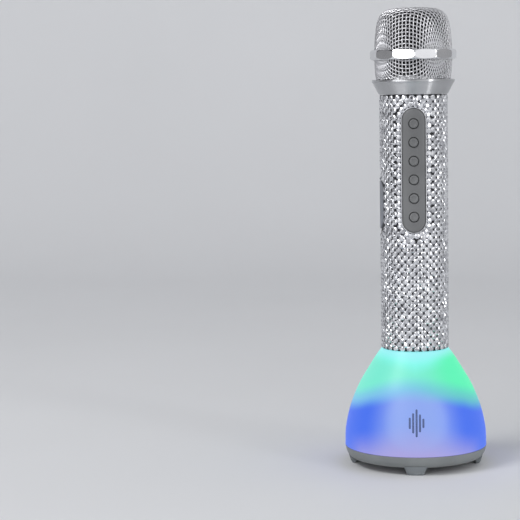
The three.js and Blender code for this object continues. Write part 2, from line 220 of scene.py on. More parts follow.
def slot_outline(half_width, half_straight, steps=14):
    """A slot that stands upright: a half round above and one below, as (across, up)."""
    outline = []
    for side in (1, -1):
        for k in range(steps + 1):
            angle = math.pi * k / steps
            outline.append((side * half_width * math.cos(angle),
                            side * (half_straight + half_width * math.sin(angle))))
        outline.extend((-side * half_width, side * half_straight * (1 - 2 * k / 10)) for k in range(1, 10))
    return outline


def pad(half_width, half_straight, rings, place, round_rings=False, steps=14):
    """A slot-shaped piece made of nested rings. A ring is (how far inside the edge, depth), and
    place(across, up, depth) puts its points on the surface that carries the piece."""
    outlines = [slot_outline(max(half_width - inside, 0.0), half_straight, steps) for inside, _ in rings]
    points = []
    for outline, (_, depth) in zip(outlines, rings):
        points.extend(place(across, up, depth) for across, up in outline)
    return points, grid_faces(len(rings), len(outlines[0]), round_rings, True)


def object_from(name, shape):
    points, faces = shape
    mesh = bpy.data.meshes.new(name)
    mesh.from_pydata([tuple(c * MM for c in point) for point in points], [], faces)
    work = bmesh.new()
    work.from_mesh(mesh)
    bmesh.ops.remove_doubles(work, verts=work.verts, dist=1e-7)
    bmesh.ops.dissolve_degenerate(work, edges=work.edges, dist=1e-8)
    bmesh.ops.recalc_face_normals(work, faces=work.faces)
    work.to_mesh(mesh)
    work.free()
    made = bpy.data.objects.new(name, mesh)
    scene.collection.objects.link(made)
    return made


def baked_modifiers(made):
    """Turns what the modifiers make into the object's own mesh."""
    bpy.context.view_layer.update()
    shown = made.evaluated_get(bpy.context.evaluated_depsgraph_get())
    made.data = bpy.data.meshes.new_from_object(shown)
    made.modifiers.clear()


def finished(made, material, body="microphone", replaces=(), crease=32):
    made.data.materials.clear()
    made.data.materials.append(material)
    made.data.shade_smooth()
    made.data.set_sharp_from_angle(angle=math.radians(crease))
    if body:
        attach(made, body)
    if replaces:
        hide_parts(*replaces)
    return made


# ---- Finishes ----
def metal_finish(name, colour, roughness, brushing=0.0, streak=0.0):
    """Plated or satin metal. Brushing runs round the piece, as a lathe leaves it, and draws lights out
    upright."""
    material, bench = new_finish(name)
    at, x, y, z = bench.place()
    cloud = bench.noise(at, 60, 3)
    lines = bench.noise(bench.joined(x * 30, y * 30, z * 9000), 1.0, 2)
    darker = tuple(c * 0.88 for c in colour)
    bench.surface(
        Base_Color=bench.mix(cloud.step(0.3, 0.7), darker, colour),
        Metallic=1.0,
        Roughness=roughness + (cloud - 0.5) * 0.06 + (lines - 0.5) * brushing,
        Normal=bench.bump(lines, 0.00002, 0.15 + brushing),
        Anisotropic=streak,
        Anisotropic_Rotation=0.25,
    )
    return material


def plastic_finish(name, colour, roughness, grain=0.3, grain_scale=2600, worn_below=None):
    """Moulded plastic or rubber: a fine grain, a faint clouding and, where asked for, a scuffed edge low
    down."""
    material, bench = new_finish(name)
    at, _, _, z = bench.place()
    cloud = bench.noise(at, 45, 3)
    fine = bench.noise(at, grain_scale, 2, 0.6)
    lighter = tuple(min(c * 1.12 + 0.004, 1.0) for c in colour)
    shade = bench.mix(cloud.step(0.3, 0.7), tuple(c * 0.93 for c in colour), lighter)
    rough = roughness + (cloud - 0.5) * 0.08 + (fine - 0.5) * 0.1
    if worn_below is not None:
        scuffs = bench.noise(at, 420, 4, 0.7).step(0.5, 0.68) * (1 - z.step(worn_below * 0.4, worn_below))
        shade = bench.mix(scuffs, shade, tuple(min(c * 1.7 + 0.03, 1.0) for c in colour))
        rough = rough + scuffs * 0.2
    bench.surface(Base_Color=shade, Roughness=rough, Normal=bench.bump(fine, 0.00003, grain))
    return material


def stone_finish():
    """Foil-backed cut stones: bright, with a little difference from one to the next."""
    material, bench = new_finish("cut_stones")
    at = bench.place()[0]
    cell = bench.noise(at, 380, 1)
    speck = bench.noise(at, 1800, 2)
    bench.surface(
        Base_Color=bench.mix(cell.step(0.35, 0.65), tone(188, 189, 193), tone(238, 239, 242)),
        Metallic=0.95,
        Roughness=0.1 + cell * 0.12,
        Normal=bench.bump(speck, 0.00004, 0.2),
    )
    return material


def setting_with_gap_shade_finish():
    """The silver layer that the stones are set in, coloured near-black as painted shade in the gaps between
    the stones.
    """
    material, bench = new_finish("stone_setting")
    at = bench.place()[0]
    speck = bench.noise(at, 900, 3)
    bench.surface(
        # near-black base colour: painted shade that stands in for the shadow in the gaps between the stones
        Base_Color=bench.mix(speck, tone(16, 16, 18), tone(52, 53, 56)),
        Metallic=0.7,
        Roughness=0.3 + speck * 0.25,
        Normal=bench.bump(speck, 0.0001, 0.5),
    )
    return material


def bell_finish():
    """Frosted bell, lit from inside: green and aqua above, blue at the sides, lilac low in the middle."""
    material, bench = new_finish("lit_bell")
    low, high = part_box("light_diffuser")
    at, x, y, z = bench.place()
    side = x / ((x * x + y * y) ** 0.5)
    drift = (bench.noise(at, 28, 2) - 0.5) * 0.08
    height = (z - low.z) / (high.z - low.z) + drift
    edge = abs(side)
    aqua = bench.mix(side.step(-0.1, 0.9), tone(122, 240, 214), tone(92, 242, 182))
    crown = bench.mix((height - edge * 0.1).step(0.76, 0.92), aqua, tone(130, 254, 240))
    crown = bench.mix(side.step(0.25, 0.95), crown, tone(88, 250, 186))
    crown = bench.mix((height - edge * 0.05).step(0.86, 0.98), crown, tone(158, 248, 252))
    meeting = bench.mix(side.step(-0.4, 0.8), tone(124, 196, 238), tone(98, 202, 206))
    middle = bench.mix(edge.step(0.2, 0.75), tone(134, 163, 240), tone(68, 114, 244))
    lilac = (1 - (height + edge * 0.22).step(0.02, 0.42)) * (1 - edge.step(0.72, 1.0))
    lower = bench.mix(lilac, middle, tone(170, 164, 226))
    border = height - 0.6 + side * side * 0.16
    glow = bench.mix(border.step(-0.09, 0.06), lower, meeting)
    glow = bench.mix(border.step(0.02, 0.2), glow, crown)
    off_x, off_z = x - 0.0006, z - 0.0295
    halo = (1 - ((off_x * off_x + off_z * off_z) ** 0.5).step(0.013, 0.0195)) * (1 - y.step(-0.01, 0.0))
    glow = bench.mix(halo * 0.25, glow, tone(156, 182, 248))
    fine = bench.noise(at, 2200, 2)
    bench.surface(
        Base_Color=bench.mix(0.92, glow, (0.0, 0.0, 0.0)),
        Emission_Color=glow,
        Emission_Strength=0.87,
        Roughness=0.46 + fine * 0.1,
        Coat_Weight=0.12,
        Coat_Roughness=0.3,
        Normal=bench.bump(fine, 0.00003, 0.15),
    )
    return material


def foam_finish():
    material, bench = new_finish("open_foam")
    at = bench.place()[0]
    cells = bench.node("TexVoronoi", {}, {"Vector": at, "Scale": 1400.0})
    cloud = bench.noise(at, 120, 3)
    bench.surface(
        Base_Color=bench.mix(cells * 0.8 + cloud * 0.3, tone(8, 8, 9), tone(40, 40, 42)),
        Roughness=0.95,
        Normal=bench.bump(cells, 0.0004, 0.9),
    )
    return material


def board_finish():
    """Green circuit board with fine copper runs under the mask."""
    material, bench = new_finish("circuit_board")
    at, x, y, z = bench.place()
    runs = bench.node("TexBrick", {}, {"Vector": bench.joined(x + y, z, 0.0), "Scale": 260.0,
                                       "Color1": (1.0, 1.0, 1.0), "Color2": (0.8, 0.8, 0.8)}, output="Fac")
    bench.surface(
        Base_Color=bench.mix(runs, tone(24, 92, 50), tone(58, 132, 74)),
        Roughness=0.3 + bench.noise(at, 300) * 0.2,
        Normal=bench.bump(runs, 0.00005, 0.4),
    )
    return material


def paper_finish():
    """Pressed pulp of the loudspeaker cone, with rings and fibres."""
    material, bench = new_finish("pressed_pulp")
    at, x, y, _ = bench.place()
    radius = (x * x + y * y) ** 0.5
    rings = bench.noise(bench.joined(radius * 900, 0.0, 0.0), 1.0, 1)
    fibres = bench.noise(at, 700, 4, 0.7)
    bench.surface(
        Base_Color=bench.mix(fibres, tone(20, 20, 21), tone(58, 57, 56)),
        Roughness=0.85,
        Normal=bench.bump(rings + fibres * 0.5, 0.0002, 0.5),
    )
    return material


def make_finishes():
    return {
        "chrome_plate": metal_finish("bright_plating", tone(238, 239, 241), 0.11),
        "satin_metal": metal_finish("satin_collar", tone(206, 207, 209), 0.34, brushing=0.08, streak=1.0),
        "wire_mesh": metal_finish("drawn_wire", tone(212, 212, 215), 0.36),
        "stones": stone_finish(),
        "stone_setting": setting_with_gap_shade_finish(),
        "strip_grey": plastic_finish("strip_plastic", tone(104, 105, 106), 0.42, 0.2),
        "rim_silver": metal_finish("rim_plating", tone(212, 213, 216), 0.34),
        "base_grey": plastic_finish("base_plastic", tone(124, 128, 128), 0.4, 0.25, worn_below=0.0052),
        "foot_grey": plastic_finish("foot_rubber", tone(116, 121, 124), 0.6, 0.4, worn_below=0.0022),
        "port_grey": plastic_finish("port_silicone", tone(122, 125, 132), 0.5, 0.15),
        "black_plastic": plastic_finish("black_moulding", tone(30, 31, 33), 0.45, 0.4),
        "white_plastic": plastic_finish("white_moulding", tone(232, 232, 228), 0.35, 0.2),
        "black_rubber": plastic_finish("black_rubber", tone(34, 34, 36), 0.75, 0.6, 1500),
        "chip_black": plastic_finish("chip_resin", tone(24, 24, 26), 0.5, 0.5, 4000),
        "brass": metal_finish("plain_brass", tone(222, 184, 108), 0.28, brushing=0.1),
        "cell_wrap": plastic_finish("cell_sleeve", tone(46, 112, 186), 0.22, 0.1, 900),
        "foam": foam_finish(),
        "diffuser": bell_finish(),
        "board_green": board_finish(),
        "cone_paper": paper_finish(),
        "mark_ink": plastic_finish("mark_ink", tone(72, 88, 132), 0.45, 0.3),
    }


finishes = make_finishes()


# ---- Base ----
DECK_INNER = 25.2  # radius of the opening in the deck inside the ring
FOOT_INNER = 33.8  # distance of a foot's back from the axis
FOOT_LEVELS = 9
FOOT_ROUNDING = 1.1  # radius of a foot's upright corners
SIDES = ("front", "right", "back", "left")


def make_base_ring():
    low, high = box_mm("base_ring")
    widest, bottom, top = high.x, low.z, high.z
    recess = box_mm("speaker_grille")[1].x + 0.3
    ridge = widest - 4.0
    outline = eased([
        (recess, bottom + 0.15, 0.12),
        (ridge - 0.5, bottom + 0.15, 0.1),
        (ridge, bottom, 0.3),
        (ridge + 0.5, bottom + 0.15, 0.1),
        (widest - 3.0, bottom + 0.1, 1.0),
        (widest - 0.8, bottom + 2.6, 1.4),
        (widest, top, 0.25),
        (widest - 1.6, top, 0.0),
        (widest - 1.6, bottom + 2.5, 0.0),
        (recess, bottom + 2.1, 0.0),
    ])
    made = object_from("base_ring_shell", turned(outline, 160))
    finished(made, finishes["base_grey"], replaces=["base_ring"])

    deck = eased([
        (recess + 1.6, bottom + 2.4, 0.0),
        (recess + 1.6, top - 0.1, 0.3),
        (DECK_INNER, top - 0.1, 0.3),
        (DECK_INNER, bottom + 2.1, 0.3),
    ])
    made = object_from("base_deck", turned(deck, 96))
    finished(made, finishes["black_plastic"])


def make_feet():
    for side in SIDES:
        make_foot(side)


def make_foot(side):
    low, high = box_mm("foot_front")
    top = high.z + 1.4
    half_top = high.x + 0.9
    half_floor = high.x - 1.25
    outer = -low.y + 0.75
    floor_outer = outer - 1.55
    across = 12
    points = []
    for level in range(FOOT_LEVELS):
        t = level / (FOOT_LEVELS - 1)
        z = top * t
        flare = half_floor + (half_top - half_floor) * t**2.2
        lift = 1 - math.cos(min(level, 2) / 2 * math.pi / 2)
        tuck = 0.0 if level >= 2 else 0.45 * (1 - lift)
        half = flare - tuck
        front = floor_outer + (outer - floor_outer) * t - tuck
        back = FOOT_INNER + tuck
        ring = []
        for i in range(across + 1):
            u = -half + 2 * half * i / across
            corner = max(0.0, abs(u) - (half - FOOT_ROUNDING)) / FOOT_ROUNDING
            reach = front - FOOT_ROUNDING * (1 - math.sqrt(max(0.0, 1 - corner**2)))
            ring.append((u, -math.sqrt(max(reach**2 - u * u, 0.0)), z))
        for i in range(across + 1):
            u = half - 2 * half * i / across
            ring.append((u, -math.sqrt(back**2 - u * u), z))
        points.extend(ring)
    count = 2 * (across + 1)
    faces = grid_faces(FOOT_LEVELS, count, False, True)
    faces.append(tuple(range(count - 1, -1, -1)))
    faces.append(tuple((FOOT_LEVELS - 1) * count + i for i in range(count)))
    turn = Matrix.Rotation(math.radians(90 * SIDES.index(side)), 3, "Z")
    placed = [tuple(turn @ Vector(point)) for point in points]
    made = object_from(f"foot_pad_{side}", (placed, faces))
    finished(made, finishes["foot_grey"], replaces=[f"foot_{side}"], crease=50)


def make_grille_disc():
    """Woven wire disc under the base, in a thin rim."""
    low, high = box_mm("speaker_grille")
    edge = high.x
    middle = (low.z + high.z) / 2
    pitch, wire, lift = 1.55, 0.3, 0.24
    limit = edge - 0.5
    count = int(limit / pitch)
    parts = []
    for family in (0, 1):
        turn = math.radians(45 + 90 * family)
        along = np.array([math.cos(turn), math.sin(turn), 0.0])
        across = np.array([-math.sin(turn), math.cos(turn), 0.0])
        for row in range(-count, count + 1):
            reach = math.sqrt(limit**2 - (row * pitch) ** 2)
            ends = int(reach / pitch)
            stations = [-reach, *(pitch * k / 2 for k in range(-2 * ends, 2 * ends + 1)), reach]
            line = []
            for s in stations:
                wave = math.cos(math.pi * (s / pitch + row)) * lift * (1 if family else -1)
                line.append(along * s + across * (row * pitch) + np.array([0, 0, middle + wave]))
            normals = np.tile([0.0, 0.0, 1.0], (len(line), 1))
            parts.append(tube(np.array(line), normals, wire, 5))
    rim = eased([
        (edge - 0.9, low.z, 0.2), (edge, low.z, 0.3), (edge, high.z, 0.2), (edge - 0.9, high.z, 0.2),
    ], 3)
    parts.append(turned(rim, 128))
    made = object_from("speaker_grille_weave", gathered(parts))
    finished(made, finishes["wire_mesh"], replaces=["speaker_grille"], crease=60)


def tube(line, normals, radius, sides):
    """A round wire along a line, with closed ends. The normals keep it from twisting."""
    along = np.gradient(line, axis=0)
    along /= np.linalg.norm(along, axis=1)[:, None]
    across = np.cross(along, normals)
    across /= np.linalg.norm(across, axis=1)[:, None]
    up = np.cross(across, along)
    angles = np.arange(sides) * 2 * math.pi / sides
    ring = (across[:, None] * np.cos(angles)[None, :, None] + up[:, None] * np.sin(angles)[None, :, None])
    points = (line[:, None] + radius * ring).reshape(-1, 3)
    faces = grid_faces(len(line), sides, False, True)
    last = (len(line) - 1) * sides
    faces.append(tuple(range(sides - 1, -1, -1)))
    faces.append(tuple(last + i for i in range(sides)))
    return [tuple(point) for point in points], faces


# ---- Bell ----
BELL_SHAPE = [(39.6, 10.8), (39.1, 21), (36.3, 33), (31.5, 44.8), (26.4, 53.6), (22, 60.7), (19.1, 64.7)]
BELL_WALL = 2.2
NECK_OPENING = 14.5  # radius of the hole in the bell's top
MARK_HEIGHTS = (6.0, 10.6, 14.6, 9.4, 5.0)  # the printed bars, from left to right
MARK_PITCH = 1.85
MARK_Z = 29.2
MARK_ASIDE = 0.6  # the mark's middle stands this far to the right


def bell_line():
    """The bell's outside, fitted to the CAD bell's box."""
    low, high = box_mm("light_diffuser")
    scale_r = high.x / BELL_SHAPE[0][0]
    rise = (high.z - 0.5 - low.z) / (BELL_SHAPE[-1][1] - BELL_SHAPE[0][1])
    return spline([(r * scale_r, low.z + (z - BELL_SHAPE[0][1]) * rise) for r, z in BELL_SHAPE], 8)


def make_bell():
    low, high = box_mm("light_diffuser")
    outside = bell_line()
    slope = np.gradient(outside, axis=0)
    slope /= np.linalg.norm(slope, axis=1)[:, None]
    inside = outside + BELL_WALL * np.stack([-slope[:, 1], slope[:, 0]], 1)
    inside = [tuple(p) for p in inside if low.z + 0.3 < p[1] < high.z - 3]
    outline = [
        *(tuple(p) for p in outside), (outside[-1][0] - 0.2, high.z - 0.12), (outside[-1][0] - 0.5, high.z),
        (NECK_OPENING, high.z), (NECK_OPENING, high.z - 2.3), *reversed(inside),
        (outside[0][0] - BELL_WALL, low.z),
        (outside[0][0] - 0.25, low.z),
    ]
    made = object_from("lit_bell", turned(outline, 160))
    finished(made, finishes["diffuser"], replaces=["light_diffuser"])


def make_level_mark():
    """Five sound-level bars printed on the front of the bell."""
    line = bell_line()
    order = np.argsort(line[:, 1])

    def on_bell(bar):
        def place(across, up, depth):
            z = up + MARK_Z
            radius = float(np.interp(z, line[order, 1], line[order, 0])) - depth
            angle = (across + bar + MARK_ASIDE) / radius
            return radius * math.sin(angle), -radius * math.cos(angle), z
        return place

    half = 0.56
    rings = [(half, -0.1), (0.2, -0.1), (0.05, -0.08), (0.0, -0.04), (0.0, 0.1), (half, 0.1)]
    parts = []
    for i, height in enumerate(MARK_HEIGHTS):
        bar = (i - 2) * MARK_PITCH
        parts.append(pad(half, height / 2 - half, rings, on_bell(bar), steps=8))
    made = object_from("level_mark", gathered(parts))
    finished(made, finishes["mark_ink"])


# ---- Handle ----
def cylinder_place(radius, middle):
    def place(across, up, depth):
        return across, -math.sqrt((radius - depth) ** 2 - across**2), middle + up
    return place


def turned_left(shape):
    """Turns a shape that was made on the front to the left side."""
    points, faces = shape
    return [(y, -x, z) for x, y, z in points], faces


STONE = 1.69  # half the width of one stone
COLUMNS = 56
ROW = 4.4
EDGING = 3.05  # pitch of the row of stones that follows the control strip
EDGING_REACH = 1.6  # how far outside the strip's rim that row stands
LEAST_GAP = 2.35  # least distance between two stones' middles, where one is in that row or a filler
FILLERS = (2.3, 2.7, 3.1, 3.5, 3.9, 4.3, 4.7)  # how far outside the row a filler is tried
CUT = (  # rings of one stone: radius as a share of its size, height, and turn in facets
    (0.46, 0.82, 0.0), (0.8, 0.6, 0.5), (1.01, 0.26, 0.0), (1.01, 0.05, 0.0), (0.85, -0.35, 0.0),
)


def slot_distance(across, up, half_straight):
    """How far a point is from the middle line of a slot."""
    return math.hypot(across, max(abs(up) - half_straight, 0.0))


def stone_shape(at, out, spin, tilt_across, tilt_up, size):
    """One cut stone: a ten-sided table, a crown of facets and a short wall down to the setting."""
    out = Vector(out)
    up = Vector((0, 0, 1))
    across = up.cross(out)
    face = (out + across * tilt_across + up * tilt_up).normalized()
    across = up.cross(face).normalized()
    lifted = face.cross(across)
    points = []
    for ring, height, turn in CUT:
        for i in range(10):
            angle = spin + (i + turn) * math.pi / 5
            flat = across * math.cos(angle) + lifted * math.sin(angle)
            points.append(tuple(Vector(at) + flat * (ring * size) + face * height))
    faces = grid_faces(len(CUT), 10, False, True)
    faces.append(tuple(range(9, -1, -1)))
    return points, faces


def stone_places():
    """Where the stones stand, as angle from the front and height: an edging row round the strip, the slanted
    lattice, and fillers in the gaps between the two."""
    low, high = box_mm("gem_sleeve")
    bezel_low, bezel_high = box_mm("control_bezel")
    port_low, port_high = box_mm("port_cover")
    hinge_top = box_mm("cover_hinge")[1].z
    radius = high.x
    panel_half = bezel_high.x
    panel_mid = (bezel_low.z + bezel_high.z) / 2
    panel_straight = (bezel_high.z - bezel_low.z) / 2 - panel_half
    port_half = port_high.y + 0.5
    port_mid = (port_low.z + hinge_top) / 2
    port_straight = (hinge_top - port_low.z) / 2 + 1.2 - port_half

    def crowded(angle, z, others):
        return any(math.hypot((angle - a) * radius, z - b) < LEAST_GAP for a, b in others)

    reach = panel_half + EDGING_REACH
    length = 4 * panel_straight + 2 * math.pi * reach
    count = round(length / EDGING)
    ring = slot_outline(reach, panel_straight, 40)
    ring.append(ring[0])
    steps = [math.dist(a, b) for a, b in zip(ring, ring[1:])]
    ends = np.concatenate([[0], np.cumsum(steps)])
    places = []
    for k in range(count):
        s = ends[-1] * k / count
        across = float(np.interp(s, ends, [p[0] for p in ring]))
        up = float(np.interp(s, ends, [p[1] for p in ring]))
        places.append((math.asin(across / radius), panel_mid + up))

    end = STONE * 0.9
    steps_up = round((high.z - low.z - 2 * end) / (ROW / 2))
    step = (high.z - low.z - 2 * end) / steps_up
    for column in range(COLUMNS):
        angle = 2 * math.pi * (column + 0.5) / COLUMNS
        angle = math.atan2(math.sin(angle), math.cos(angle))
        for row in range(column % 2, steps_up + 1, 2):
            z = low.z + end + row * step
            on_front = abs(angle) < math.pi / 2
            flat = radius * math.sin(angle)
            if on_front and slot_distance(flat, z - panel_mid, panel_straight) < reach + 1.2:
                continue
            if on_front and crowded(angle, z, places[:count]):
                continue
            on_left = math.sin(angle) < 0
            deep = radius * math.cos(angle)
            if on_left and slot_distance(deep, z - port_mid, port_straight) < port_half + STONE * 0.75:
                continue
            places.append((angle, z))

    for beyond in FILLERS:
        for across, up in slot_outline(reach + beyond, panel_straight, 60):
            place = (math.asin(across / radius), panel_mid + up)
            if not crowded(*place, places):
                places.append(place)
    return places


def make_stones():
    radius = box_mm("gem_sleeve")[1].x
    chance = random.Random(11)
    parts = []
    for angle, z in stone_places():
        out = (math.sin(angle), -math.cos(angle), 0.0)
        seat = radius - 0.9
        at = (out[0] * seat, out[1] * seat, z)
        spin = chance.uniform(0, math.pi / 5)
        size = STONE * chance.uniform(0.97, 1.01)
        parts.append(stone_shape(at, out, spin, chance.gauss(0, 0.05), chance.gauss(0, 0.05), size))
    made = object_from("stone_rows", gathered(parts))
    finished(made, finishes["stones"], replaces=["gem_sleeve"], crease=8)


def make_stone_setting():
    """The thin silver sleeve that carries the stones, open at the strip and at the port."""
    low, high = box_mm("gem_sleeve")
    radius = high.x
    outline = eased([
        (radius - 0.75, low.z, 0.1), (radius - 0.75, high.z, 0.1), (radius - 1.25, high.z, 0.1),
        (radius - 1.25, low.z, 0.1),
    ], 2)
    made = object_from("stone_setting", turned(outline, 160))
    bezel_low, bezel_high = box_mm("control_bezel")
    port_low, port_high = box_mm("port_cover")
    hinge_top = box_mm("cover_hinge")[1].z
    half = bezel_high.x + 0.12
    front = pad(half, (bezel_high.z - bezel_low.z) / 2 - half, [(half, 0), (0, 0), (0, 1), (half, 1)],
                lambda a, b, d: (a, -(radius + 2) + 8 * d, (bezel_low.z + bezel_high.z) / 2 + b))
    half = port_high.y + 0.3
    side = pad(half, (hinge_top - port_low.z) / 2 + 1.0 - half, [(half, 0), (0, 0), (0, 1), (half, 1)],
               lambda a, b, d: (a, -(radius + 2) + 8 * d, (port_low.z + hinge_top) / 2 + b))
    cut_out(made, gathered([front, turned_left(side)]))
    finished(made, finishes["stone_setting"])


def cut_out(made, tool_shape):
    tool = object_from("cutter", tool_shape)
    cut = made.modifiers.new("cut", "BOOLEAN")
    cut.operation = "DIFFERENCE"
    cut.solver = "EXACT"
    cut.object = tool
    baked_modifiers(made)
    bpy.data.objects.remove(tool)


BUTTONS = 6


def panel_facts():
    """The strip's half width, half the length of its straight part, its middle, and how far out its face and
    its back are."""
    low, high = box_mm("control_panel")
    half = high.x
    return half, (high.z - low.z) / 2 - half, (low.z + high.z) / 2, -low.y, -high.y


def make_bezel():
    low, high = box_mm("control_bezel")
    half = high.x
    middle = (low.z + high.z) / 2
    inner = half - panel_facts()[0] - 0.15
    place = cylinder_place(-low.y, middle)
    rings = [(0.0, 1.2), (0.0, 0.25), (0.06, 0.06), (inner * 0.5, 0.0), (inner - 0.06, 0.06),
             (inner, 0.25), (inner, 1.2)]
    made = object_from("strip_rim", pad(half, (high.z - low.z) / 2 - half, rings, place, True, 28))
    finished(made, finishes["rim_silver"], replaces=["control_bezel"], crease=50)


def make_strip():
    half, straight, middle, face, back = panel_facts()
    on_face = cylinder_place(face, middle)

    def place(across, up, depth):
        if depth > face:
            return across, -back, middle + up
        return on_face(across, up, depth)

    rings = [(half, 0), (half * 0.75, 0), (half * 0.5, 0), (half * 0.25, 0), (0.75, 0.0), (0.45, 0.05),
             (0.2, 0.18), (0.05, 0.38), (0.0, 0.6), (0.0, 99), (half, 99)]
    made = object_from("control_strip", pad(half, straight, rings, place, False, 24))
    moat = [
        (0, face - 6), (2.8, face - 6), (2.8, face - 0.4),
        (3.1, face + 0.02), (3.15, face + 2), (0, face + 2),
    ]
    tools = []
    for i in range(1, BUTTONS + 1):
        low, high = box_mm(f"button_{i}")
        tools.append(facing_front(turned(moat, 40, False), (low.z + high.z) / 2))
    cut_out(made, gathered(tools))
    finished(made, finishes["strip_grey"], replaces=["control_panel"], crease=35)


def facing_front(shape, z):
    """Lays a turned shape along Y, so that its top faces the front at the height z."""
    points, faces = shape
    return [(x, -up, z + y) for x, y, up in points], faces


def make_buttons():
    for i in range(1, BUTTONS + 1):
        low, high = box_mm(f"button_{i}")
        face, stem = -low.y, -high.y
        outline = [
            (0.0, stem), (1.2, stem), (1.2, stem + 0.2), (3.2, stem + 0.2), (3.2, stem + 0.7),
            (2.5, stem + 0.7),
            (2.5, face - 0.7), (2.44, face - 0.36), (2.28, face - 0.13), (2.0, face - 0.02), (1.8, face),
            (1.55, face - 0.04), (1.2, face - 0.14), (0.6, face - 0.24), (0.0, face - 0.27),
        ]
        shape = facing_front(turned(outline, 48, False), (low.z + high.z) / 2)
        made = object_from(f"button_cap_{i}", shape)
        finished(made, finishes["strip_grey"], f"button_{i}", [f"button_{i}"])


def make_port_cover():
    """Soft flap over the sockets, with a round thumb notch at its lower end."""
    low, high = box_mm("port_cover")
    half = high.y
    face = -low.x
    place = cylinder_place(face, (low.z + high.z) / 2)
    rings = [(half, 0), (half * 0.7, 0), (half * 0.4, 0), (0.8, 0.0), (0.4, 0.06), (0.12, 0.22), (0.0, 0.45),
             (0.0, 1.0), (0.1, 1.18), (half * 0.4, 1.2), (half * 0.7, 1.2), (half, 1.2)]
    flap = pad(half, (high.z - low.z) / 2 - half, rings, place, False, 24)
    made = object_from("port_flap", turned_left(flap))
    notch = turned([(0, -1), (1.4, -1), (1.4, 0.7), (1.7, 1.2), (1.7, 3), (0, 3)], 32, False)
    points = [(-(face - 0.9) - up, x, low.z + 0.3 + y) for x, y, up in notch[0]]
    cut_out(made, (points, notch[1]))
    finished(made, finishes["port_grey"], "port_cover", ["port_cover"], 40)


# ---- Head ----
COLLAR_SPIGOT = 15.5  # outside of the spigot that goes down into the handle tube
COLLAR_BORE = 13.6  # inside of the collar
COLLAR_MOUTH = 19.6  # the wider opening at its top


def make_collar():
    low, high = box_mm("head_collar")
    widest, top, bottom = high.x, high.z, low.z
    seat = box_mm("gem_sleeve")[1].z + 0.3
    foot_r = box_mm("gem_sleeve")[1].x + 0.1
    outline = eased([
        (COLLAR_SPIGOT, bottom, 0.2), (COLLAR_SPIGOT, seat, 0.0), (foot_r, seat, 0.25),
        (widest - 0.6, top - 1.9, 0.9), (widest, top - 1.2, 0.3), (widest, top, 0.12),
        (COLLAR_MOUTH, top, 0.2), (COLLAR_MOUTH, top - 3.6, 0.0), (COLLAR_BORE, top - 3.6, 0.0),
        (COLLAR_BORE, bottom, 0.2),
    ], 6)
    made = object_from("collar_turned", turned(outline, 160))
    finished(made, finishes["satin_metal"], replaces=["head_collar"], crease=40)


BAND_SIDES = 12
BAND_TURN = 2.3  # degrees that one corner stands round from the front
EDGE_SOFTNESS = 0.05  # how far the edges of the flats are rounded


def make_band():
    """The anti-roll band: a rounded ring with twelve flats ground on it."""
    low, high = box_mm("grille_band")
    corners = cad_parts["grille_band"].data.vertices
    corner = max(math.hypot(v.co.x, v.co.y) for v in corners) / MM
    flat = corner * math.cos(math.pi / BAND_SIDES)
    half = (high.z - low.z) / 2
    middle = (high.z + low.z) / 2
    inner = box_mm("upper_grille")[1].x + 0.35
    profile = []
    for k in range(25):
        angle = -math.pi / 2 + math.pi * k / 24
        profile.append((inner + (corner + 0.25 - inner) * abs(math.cos(angle)) ** 0.62,
                        middle + half * math.copysign(abs(math.sin(angle)) ** 0.85, math.sin(angle))))
    around = BAND_SIDES * 20
    points = []
    for r, z in profile:
        for i in range(around):
            turn = 2 * math.pi * i / around
            off = (turn % (2 * math.pi / BAND_SIDES)) - math.pi / BAND_SIDES
            wall = flat / math.cos(off)
            near_edge = max(0.0, 1 - abs(r - wall) / (4 * EDGE_SOFTNESS))
            ground = min(r, wall) - EDGE_SOFTNESS * near_edge**2
            a = turn + math.radians(BAND_TURN)
            points.append((ground * math.sin(a), -ground * math.cos(a), z))
    made = object_from("facet_band", (points, grid_faces(len(profile), around, True, True)))
    finished(made, finishes["chrome_plate"], replaces=["grille_band"], crease=28)


DOME_SHAPE = [(21.4, 228.9), (21.4, 233.7), (20.9, 240.3), (19.8, 246.6), (17.8, 250.9), (14.3, 253.3),
              (8.8, 254.2), (0, 254.5)]
LINE_STEP = 0.06  # between stations along the dome's outline
WIRE_PITCH = 2.04  # distance between crossings along a wire
CROWDED = 1.3  # least distance between crossings, side by side
CROWD_REACH = 13.0  # how far from the crowded line that still holds them apart
WIRE_R = 0.32
CRIMP = 0.16  # how far a wire bends out and in where it crosses another
NET_TURN = 11  # degrees that the net's square side stands round to the left
EVENING = 10  # passes that draw each crossing toward the middle of its neighbours
NET_COUNT = 29  # crossings from the crown to the net's edge


def dome_line():
    """Dome outline from the crown down, then straight on below the band, in even steps."""
    low, high = box_mm("upper_grille")
    widest, bottom = DOME_SHAPE[0]
    wide, tall = high.x / widest, (high.z - low.z) / (DOME_SHAPE[-1][1] - bottom)
    knots = [(r * wide, low.z + (z - bottom) * tall) for r, z in reversed(DOME_SHAPE)]
    line = spline(knots, 12)
    line = np.concatenate([line, [[line[-1][0], line[-1][1] - 90.0]]])
    length = np.concatenate([[0], np.cumsum(np.linalg.norm(np.diff(line, axis=0), axis=1))])
    at = np.arange(0, length[-1], LINE_STEP)
    return np.stack([np.interp(at, length, line[:, 0]), np.interp(at, length, line[:, 1])], 1)


def laid_on(points, line):
    """Moves points onto the turned outline. Also tells at which station each of them then is."""
    distance = np.hypot(points[..., 0], points[..., 1])
    gap = (line[:, 0] - distance[..., None]) ** 2 + (line[:, 1] - points[..., 2, None]) ** 2
    station = gap.argmin(-1)
    keep = line[station, 0] / np.maximum(distance, 1e-9)
    return np.stack([points[..., 0] * keep, points[..., 1] * keep, line[station, 1]], -1), station


